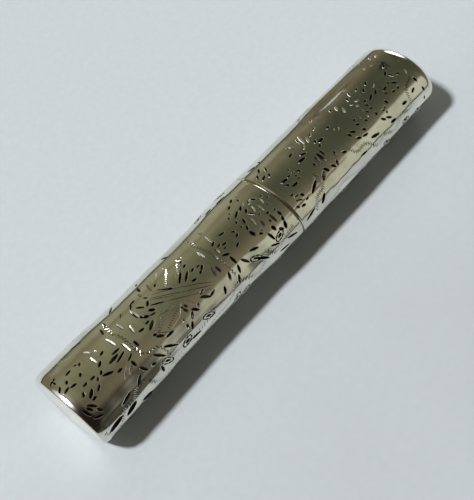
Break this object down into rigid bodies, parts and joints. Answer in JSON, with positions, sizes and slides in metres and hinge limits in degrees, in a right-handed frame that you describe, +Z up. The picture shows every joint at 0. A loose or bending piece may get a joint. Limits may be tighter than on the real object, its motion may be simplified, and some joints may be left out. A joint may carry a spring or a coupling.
{
  "type": "needle case",
  "caption": "Oval silver tube case in two halves: a flat-ended base with an inner sleeve, and a pull-off lid with a rounded end.",
  "frame": {"origin": "middle of the length and of the width, on the surface that the case lies on", "axes": "+X along the case from the flat end to the lid's rounded end; +Y across the oval; +Z up"},
  "size_m": [0.086, 0.0159, 0.0102],
  "materials": {
    "engraved_silver": "old polished sterling silver, bright-cut engraved, dark tarnish in the cuts",
    "plain_silver": "old polished sterling silver, fine rubbing scratches",
    "silver_solder": "hard silver solder, slightly yellow and dull"
  },
  "bodies": {
    "base": {"base_tube": "engraved_silver", "base_seam_solder": "silver_solder", "base_end_plate": "plain_silver", "end_plate_solder": "silver_solder", "inner_sleeve": "plain_silver", "sleeve_solder": "silver_solder"},
    "lid": {"lid_tube": "engraved_silver", "lid_seam_solder": "silver_solder", "lid_end_cap": "engraved_silver", "cap_solder": "silver_solder"}
  },
  "joints": [
    {"name": "lid_slide", "type": "slide", "parent": "base", "child": "lid", "axis": [1, 0, 0], "range_m": [0, 0.04]}
  ]
}
